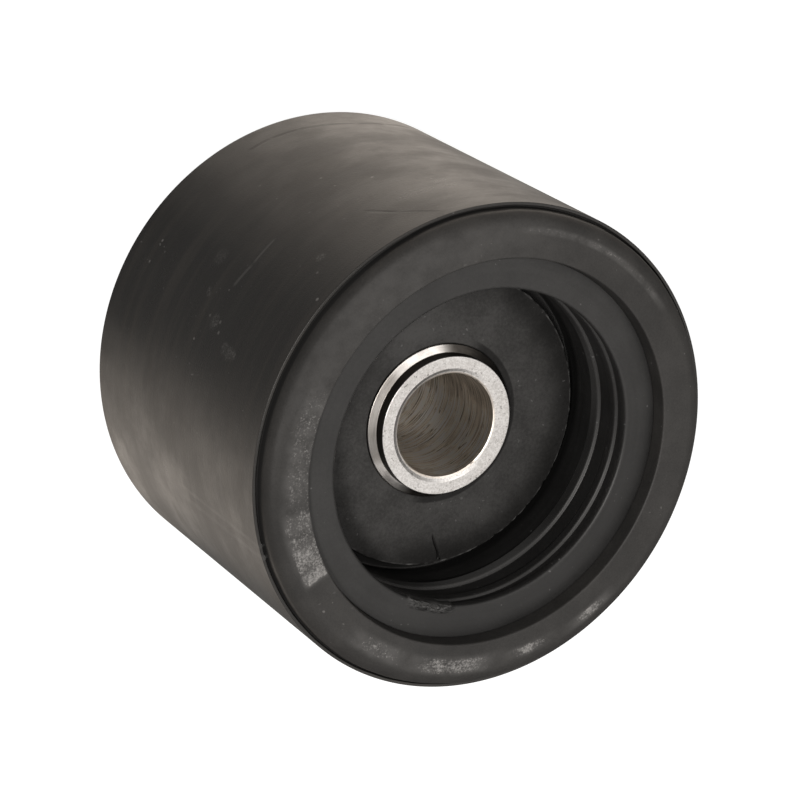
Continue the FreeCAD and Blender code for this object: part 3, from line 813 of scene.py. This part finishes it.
# sleeve and collar: turned steel, each end a narrow nose with a shoulder behind it
sleeveLook = {
    "bore": 10.0 * mm, "outer": 12.5 * mm, "boreBevel": (1.05 * mm, 0.45 * mm), "noseWall": 0.85 * mm,
    "noseLength": 2.65 * mm, "noseBevel": 0.15 * mm, "shoulderRadius": 14.79 * mm, "shoulderDrop": 0.7 * mm,
    "shoulderRounding": 0.12 * mm, "edgeRounding": 0.06 * mm, "turns": 480, "spacing": 1.0 * mm,
    "steel": 0.72, "stainedShare": 0.86, "stainRange": (0.35, 0.75), "noseSideSteel": 0.1,
    # the shoulder has painted highlights round two directions and painted shadow away from a third, in
    # degrees
    "shoulderSteel": 0.28, "paintedHighlights": [(110.0, 0.8), (242.0, 1.0)], "shoulderShadow": 0.07, "litFrom": 172.0,
    "highlightRange": (0.8, 1.0), "litRange": (0.08, 0.42), "shoulderStains": (0.35, 0.7, 0.0, 0.5),
    # painted light and shade: the bore is brighter towards one side and darker towards the other
    "brightBoreAt": -50.0, "rubbedAndLitRange": (0.1, 0.9, 0.5, 1.15),
    "boreSteel": (0.95, 0.87, 0.78), "roughness": 0.34, "boreRoughness": 0.45, "anisotropy": 0.45,
    "fineRough": (0.3, 0.7, -0.05, 0.08),
    # noises: scale (round the axis, outward and along it for lines), detail, roughness
    "grains": {
        "speckle": (5200.0, 2.0, 0.6), "stains": (240.0, 4.0, 0.6), "pits": (1900.0, 2.0),
        "tone": (2200.0, 4.0, 0.85),
    },
    "lines": {
        "fine": (2.0, 7000.0, 5000.0, 3.0, 0.65), "lathe": (0.8, 3400.0, 3400.0, 3.0, 0.6),
        "tool": (0.7, 1500.0, 1500.0, 1.0, 0.4), "bright": (0.6, 1900.0, 1900.0, 1.0, 0.4),
    },
    # lines in the bore lie where a noise passes a level: level, inner and outer half width
    "toolLine": (0.5, 0.004, 0.022), "brightLine": (0.52, 0.003, 0.016), "toolTone": 0.35, "brightTone": 0.6,
    "latheTone": (0.3, 0.7, 0.62, 1.38), "stainTone": (0.3, 0.7, 0.8, 1.25),
    "pitRange": (0.62, 0.7), "pitPlaces": (0.35, 0.6), "pitShare": 0.75, "pitGrey": 0.1,
    "grainTone": (0.38, 0.62, 0.55, 0.0),
    "fineBump": (0.3, 0.03 * mm), "speckleBump": (0.25, 0.02 * mm), "latheBump": (0.8, 0.12 * mm),
}


def noseAndShoulder():
    # from the top of the bearing outward and up to the end face
    look = sleeveLook
    soft = look["edgeRounding"]
    nose = look["outer"] + look["noseWall"]
    shoulderTop = sleeveTop - look["noseLength"]
    return [
        (look["outer"], bearingTop, soft),
        (look["shoulderRadius"], bearingTop, soft),
        (look["shoulderRadius"], shoulderTop - look["shoulderDrop"] / 2, look["shoulderRounding"]),
        (nose, shoulderTop + look["shoulderDrop"] / 2, soft),
        (nose, sleeveTop, look["noseBevel"]),
    ]


def makeSleeve():
    look = sleeveLook
    soft = look["edgeRounding"]
    wide, deep = look["boreBevel"]
    bottom = 2 * middle - sleeveTop
    corners = [
        (look["bore"] + wide, bottom, soft),
        (look["outer"], bottom, soft),
        *noseAndShoulder(),
        (look["bore"] + wide, sleeveTop, soft),
        (look["bore"], sleeveTop - deep, soft),
        (look["bore"], bottom + deep, soft),
    ]
    return turnedPiece("sleeveSkin", corners, look["turns"], look["spacing"])


def makeCollar():
    look = sleeveLook
    bottom = 2 * middle - sleeveTop
    flipped = [(r, 2 * middle - z, rounding) for r, z, rounding in noseAndShoulder()]
    corners = flipped + [(look["outer"], bottom, look["edgeRounding"])]
    return turnedPiece("collarSkin", corners, look["turns"])


def boreColour(tree, way, noises, look):
    # lathe rings with dark and bright tool lines in them, times the colour of the steel
    stained = ramp(tree, noises["stains"], *look["stainTone"])
    tone = product(tree, ramp(tree, noises["lathe"], *look["latheTone"]), stained)
    toolLines = crossing(tree, noises["tool"], *look["toolLine"])
    tone = product(tree, tone, ramp(tree, toolLines, 0.0, 1.0, 1.0, look["toolTone"]))
    brightLines = crossing(tree, noises["bright"], *look["brightLine"])
    tone = total(tree, tone, product(tree, brightLines, look["brightTone"]))
    # painted light and shade: brighter towards one side of the bore
    litSide = dot(tree, way, onAxis(1.0, look["brightBoreAt"], 0.0))
    tone = product(tree, tone, ramp(tree, litSide, *look["rubbedAndLitRange"]))
    inputs = {0: look["boreSteel"], "Scale": tone}
    return addNode(tree, "ShaderNodeVectorMath", inputs, operation="SCALE").outputs[0]


def faceColour(tree, noises, look):
    # bright steel with slow stains, a darker grain and pits that gather in the stains
    steel = look["steel"]
    stained = ramp(tree, noises["stains"], *look["stainRange"])
    face = blendColours(tree, stained, grey(steel, 0.01), grey(steel * look["stainedShare"], 0.02))
    face = blendColours(tree, ramp(tree, noises["tone"], *look["grainTone"]), face, grey(steel * 0.5, 0.04))
    places = ramp(tree, noises["stains"], *look["pitPlaces"])
    pits = product(tree, ramp(tree, noises["pits"], *look["pitRange"]), places)
    return blendColours(tree, product(tree, pits, look["pitShare"]), face, grey(look["pitGrey"], 0.04))


def shoulderColour(tree, way, noises, look):
    # plain steel, with painted highlights round two directions and painted shadow away from a third
    shoulder = grey(look["shoulderSteel"], 0.04)
    for angle, tone in look["paintedHighlights"]:
        near = ramp(tree, dot(tree, way, onAxis(1.0, angle, 0.0)), *look["highlightRange"])
        shoulder = blendColours(tree, near, shoulder, grey(tone, 0.03))
    towardsLight = dot(tree, way, onAxis(1.0, look["litFrom"], 0.0))
    litShoulder = ramp(tree, towardsLight, *look["litRange"])
    shoulder = blendColours(tree, litShoulder, grey(look["shoulderShadow"], 0.08), shoulder)
    stained = ramp(tree, noises["stains"], *look["shoulderStains"])
    return blendColours(tree, stained, shoulder, grey(look["shoulderSteel"] * 0.6, 0.1))


def turnedSteelMaterial():
    look = sleeveLook
    material, tree, shader, place = newMaterial("turnedSteel")
    axis = axisPlace(tree, place)
    radius, way, height = axis
    noises = allNoises(tree, place, axis, look)
    inBore = ramp(tree, radius, look["bore"] + 0.1 * mm, look["bore"] + 0.5 * mm, 1.0, 0.0)
    # the side of the nose is given a much darker colour than the rest of the steel
    nose = look["outer"] + look["noseWall"]
    fromMiddle = sums(tree, "ABSOLUTE", sums(tree, "SUBTRACT", height, middle))
    noseEdge = sleeveTop - middle - look["noseBevel"]
    belowEdge = ramp(tree, fromMiddle, noseEdge - 0.1 * mm, noseEdge + 0.05 * mm, 1.0, 0.0)
    noseSide = product(tree, crossing(tree, radius, nose, 0.05 * mm, 0.12 * mm), belowEdge)
    onShoulder = ramp(tree, radius, nose + 0.03 * mm, nose + 0.12 * mm)
    shoulder = shoulderColour(tree, way, noises, look)
    outside = blendColours(tree, onShoulder, faceColour(tree, noises, look), shoulder)
    outside = blendColours(tree, noseSide, outside, grey(look["noseSideSteel"], 0.08))
    bore = boreColour(tree, way, noises, look)
    tree.links.new(blendColours(tree, inBore, outside, bore), shader.inputs["Base Color"])
    shader.inputs["Metallic"].default_value = 1.0
    shader.inputs["Anisotropic"].default_value = look["anisotropy"]
    tangent = addNode(tree, "ShaderNodeTangent", direction_type="RADIAL", axis="Z").outputs[0]
    tree.links.new(tangent, shader.inputs["Tangent"])
    plain = ramp(tree, inBore, 0.0, 1.0, look["roughness"], look["boreRoughness"])
    rough = total(tree, plain, ramp(tree, noises["fine"], *look["fineRough"]))
    tree.links.new(rough, shader.inputs["Roughness"])
    normal = bumped(tree, shader, noises["fine"], *look["fineBump"])
    normal = bumped(tree, shader, noises["speckle"], *look["speckleBump"], normal)
    bumped(tree, shader, product(tree, noises["lathe"], inBore), *look["latheBump"], normal)
    return material


def partMaterial(name, colour, roughness, metallic, grainScale):
    # finish of the pieces inside the roller: a fine grain over slow changes of tone
    material, tree, shader, place = newMaterial(name)
    tone = ramp(tree, noise(tree, place, 300.0, 3.0, 0.6), 0.3, 0.7)
    grain = noise(tree, place, grainScale, 2.0, 0.6)
    paint = blendColours(tree, tone, grey(colour * 0.9), grey(colour * 1.08))
    tree.links.new(paint, shader.inputs["Base Color"])
    rough = ramp(tree, grain, 0.3, 0.7, roughness - 0.04, roughness + 0.05)
    tree.links.new(rough, shader.inputs["Roughness"])
    shader.inputs["Metallic"].default_value = metallic
    bumped(tree, shader, grain, 0.1, 0.02 * mm)
    return material


def dress(piece, material, body, node):
    piece.data.materials.append(material)
    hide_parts(node)
    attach(piece, body)


rubber = rubberMaterial()
corePlastic = plasticMaterial("mouldedCore", coreLook)
coverPlastic = plasticMaterial("mouldedCover", coverLook)
steel = turnedSteelMaterial()
dress(makeTyre(), rubber, "roller", "tyre")
dress(makeCore(), corePlastic, "roller", "core")
dress(makeCover("frontCoverSkin", 1), coverPlastic, "roller", "front_cover")
dress(makeCover("rearCoverSkin", -1), coverPlastic, "roller", "rear_cover")
dress(makeSleeve(), steel, "hub", "inner_sleeve")
dress(makeCollar(), steel, "hub", "rear_collar")
print("turned pieces made")

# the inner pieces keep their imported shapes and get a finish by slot
innerFinishes = {
    "turned_steel": partMaterial("spacerSteel", 0.55, 0.35, 1.0, 1800.0),
    "bearing_steel": partMaterial("groundSteel", 0.6, 0.22, 1.0, 2600.0),
    "ball_steel": partMaterial("polishedBall", 0.66, 0.08, 1.0, 900.0),
    "cage_steel": partMaterial("pressedSheet", 0.5, 0.4, 1.0, 2000.0),
    "seal_rubber": partMaterial("sealRubber", 0.03, 0.5, 0.0, 2400.0),
}
replacedNodes = {"tyre", "core", "front_cover", "rear_cover", "inner_sleeve", "rear_collar"}
for row in frame["record"]["subparts"]:
    if row["node"] not in replacedNodes:
        part = frame["nodes"][row["node"]]
        part.data.materials.clear()
        part.data.materials.append(innerFinishes[row["material_slot"]])
print("inner pieces finished")

# floor, lamps and camera
stageLook = {
    "floorSize": 8.0, "floorGrey": 0.2, "seenWhite": 0.93, "worldGrey": 0.2, "lampWarmth": 0.04,
    "reflectionWarmth": 0.13,
    "cameraPlace": (-0.29615, 0.15920, 0.52800),
    "cameraRight": (0.86681, 0.15502, 0.47393), "cameraUp": (0.0, 0.95045, -0.31088), "lens": 142.24,
    "sensorWidth": 36.0, "farthest": 50.0,
    # painted reflection, light and shade seen only by glossy rays: tone of the floor's glow by share of a
    # turn round the roller (0 is -x), grey
    "reflectionCentre": (-0.0202, 0.0109),
    "paintedReflectionTones": [
        (0.0, 0.0), (0.03, 0.04), (0.07, 0.3), (0.105, 0.68), (0.14, 0.88), (0.165, 0.95), (0.195, 0.8),
        (0.22, 0.36), (0.25, 0.0), (0.35, 0.0), (0.5, 0.0), (0.55, 0.06), (0.6, 0.5), (0.64, 1.0),
        (0.685, 1.05), (0.733, 0.76), (0.786, 0.46), (0.844, 0.14), (0.9, 0.0), (1.0, 0.0),
    ],
    # lamps: azimuth and elevation seen from the roller, distance, size, brightness of the panel
    "lamps": [
        ("facePanel", -32.0, 66.0, 0.50, 0.52, 0.74),
        ("keyPanel", 169.0, 54.5, 1.00, 0.13, 114.0),
        ("upperPanel", 66.0, 58.0, 0.90, 0.50, 1.5),
        ("lowerPanel", -89.0, 40.0, 0.90, 0.55, 0.75),
        ("lowPanel", -20.0, 12.0, 0.80, 0.45, 0.4),
    ],
}


def paintedReflectionGlow(tree, look):
    # painted reflection: a glow that only glossy rays see, in light and dark tones that change round the
    # roller
    place = addNode(tree, "ShaderNodeTexCoord").outputs["Object"]
    parts = addNode(tree, "ShaderNodeSeparateXYZ", {0: place})
    x = sums(tree, "SUBTRACT", parts.outputs[0], look["reflectionCentre"][0])
    y = sums(tree, "SUBTRACT", parts.outputs[1], look["reflectionCentre"][1])
    turn = addNode(tree, "ShaderNodeMapRange", {
        "Value": sums(tree, "ARCTAN2", y, x), "From Min": -np.pi, "From Max": np.pi,
    }).outputs[0]
    node = addNode(tree, "ShaderNodeValToRGB", {"Fac": turn})
    tones = node.color_ramp
    tones.interpolation = "EASE"
    while len(tones.elements) < len(look["paintedReflectionTones"]):
        tones.elements.new(0.5)
    for element, (share, tone) in zip(tones.elements, look["paintedReflectionTones"]):
        element.position = share
        element.color = grey(tone, look["reflectionWarmth"])
    return node.outputs[0]


def makeFloor():
    look = stageLook
    half = look["floorSize"] / 2
    mesh = bpy.data.meshes.new("studioFloor")
    corners = [(-half, -half, 0), (half, -half, 0), (half, half, 0), (-half, half, 0)]
    mesh.from_pydata(corners, [], [(0, 1, 2, 3)])
    floor = bpy.data.objects.new("studioFloor", mesh)
    bpy.context.scene.collection.objects.link(floor)
    material = bpy.data.materials.new("floorPaper")
    material.use_nodes = True
    tree = material.node_tree
    tree.nodes.clear()
    path = addNode(tree, "ShaderNodeLightPath")
    paper = addNode(tree, "ShaderNodeBsdfDiffuse", {"Color": grey(look["floorGrey"])})
    seen = addNode(tree, "ShaderNodeEmission", {"Color": grey(1.0), "Strength": look["seenWhite"]})
    # the painted reflection glows for glossy and transmission rays only
    paintedReflection = addNode(tree, "ShaderNodeEmission", {"Color": paintedReflectionGlow(tree, look), "Strength": 1.0})
    dark = addNode(tree, "ShaderNodeEmission", {"Color": grey(0.0), "Strength": 0.0})
    mirrored = sums(tree, "MAXIMUM", path.outputs["Is Glossy Ray"], path.outputs["Is Transmission Ray"])
    glow = addNode(tree, "ShaderNodeMixShader", {0: mirrored, 1: dark.outputs[0], 2: paintedReflection.outputs[0]})
    inputs = {0: path.outputs["Is Camera Ray"], 1: glow.outputs[0], 2: seen.outputs[0]}
    glow = addNode(tree, "ShaderNodeMixShader", inputs)
    both = addNode(tree, "ShaderNodeAddShader", {0: paper.outputs[0], 1: glow.outputs[0]})
    addNode(tree, "ShaderNodeOutputMaterial", {"Surface": both.outputs[0]})
    mesh.materials.append(material)


def makeCamera():
    look = stageLook
    right, up = Vector(look["cameraRight"]), Vector(look["cameraUp"])
    turn = Matrix((right, up, right.cross(up))).transposed()
    camera = bpy.data.objects.new("viewCamera", bpy.data.cameras.new("viewCamera"))
    camera.data.lens = look["lens"]
    camera.data.sensor_width = look["sensorWidth"]
    camera.data.clip_end = look["farthest"]
    camera.matrix_world = Matrix.Translation(look["cameraPlace"]) @ turn.to_4x4()
    bpy.context.scene.collection.objects.link(camera)
    bpy.context.scene.camera = camera


def makeLamps():
    # each panel of side s and brightness b shines with 4 b s^2 watts towards the middle of the roller
    target = Vector((0, 0, middle))
    for name, azimuth, elevation, distance, size, brightness in stageLook["lamps"]:
        data = bpy.data.lights.new(name, "AREA")
        data.shape = "SQUARE"
        data.size = size
        data.energy = 4 * brightness * size ** 2
        data.color = grey(1.0, stageLook["lampWarmth"])[:3]
        lamp = bpy.data.objects.new(name, data)
        flat = np.cos(np.radians(elevation))
        direction = Vector(onAxis(flat, azimuth, np.sin(np.radians(elevation))))
        lamp.location = target + direction * distance
        lamp.rotation_euler = direction.to_track_quat("Z", "Y").to_euler()
        lamp.visible_camera = False
        bpy.context.scene.collection.objects.link(lamp)
    world = bpy.context.scene.world or bpy.data.worlds.new("studio")
    bpy.context.scene.world = world
    world.use_nodes = True
    tree = world.node_tree
    seen = addNode(tree, "ShaderNodeLightPath").outputs["Is Camera Ray"]
    surroundings = grey(stageLook["worldGrey"], stageLook["lampWarmth"])
    tree.links.new(blendColours(tree, seen, surroundings, grey(1.0)), tree.nodes["Background"].inputs[0])
    tree.nodes["Background"].inputs[1].default_value = 1.0


makeFloor()
makeCamera()
makeLamps()
bpy.context.scene.view_settings.view_transform = "Standard"
print("stage set")
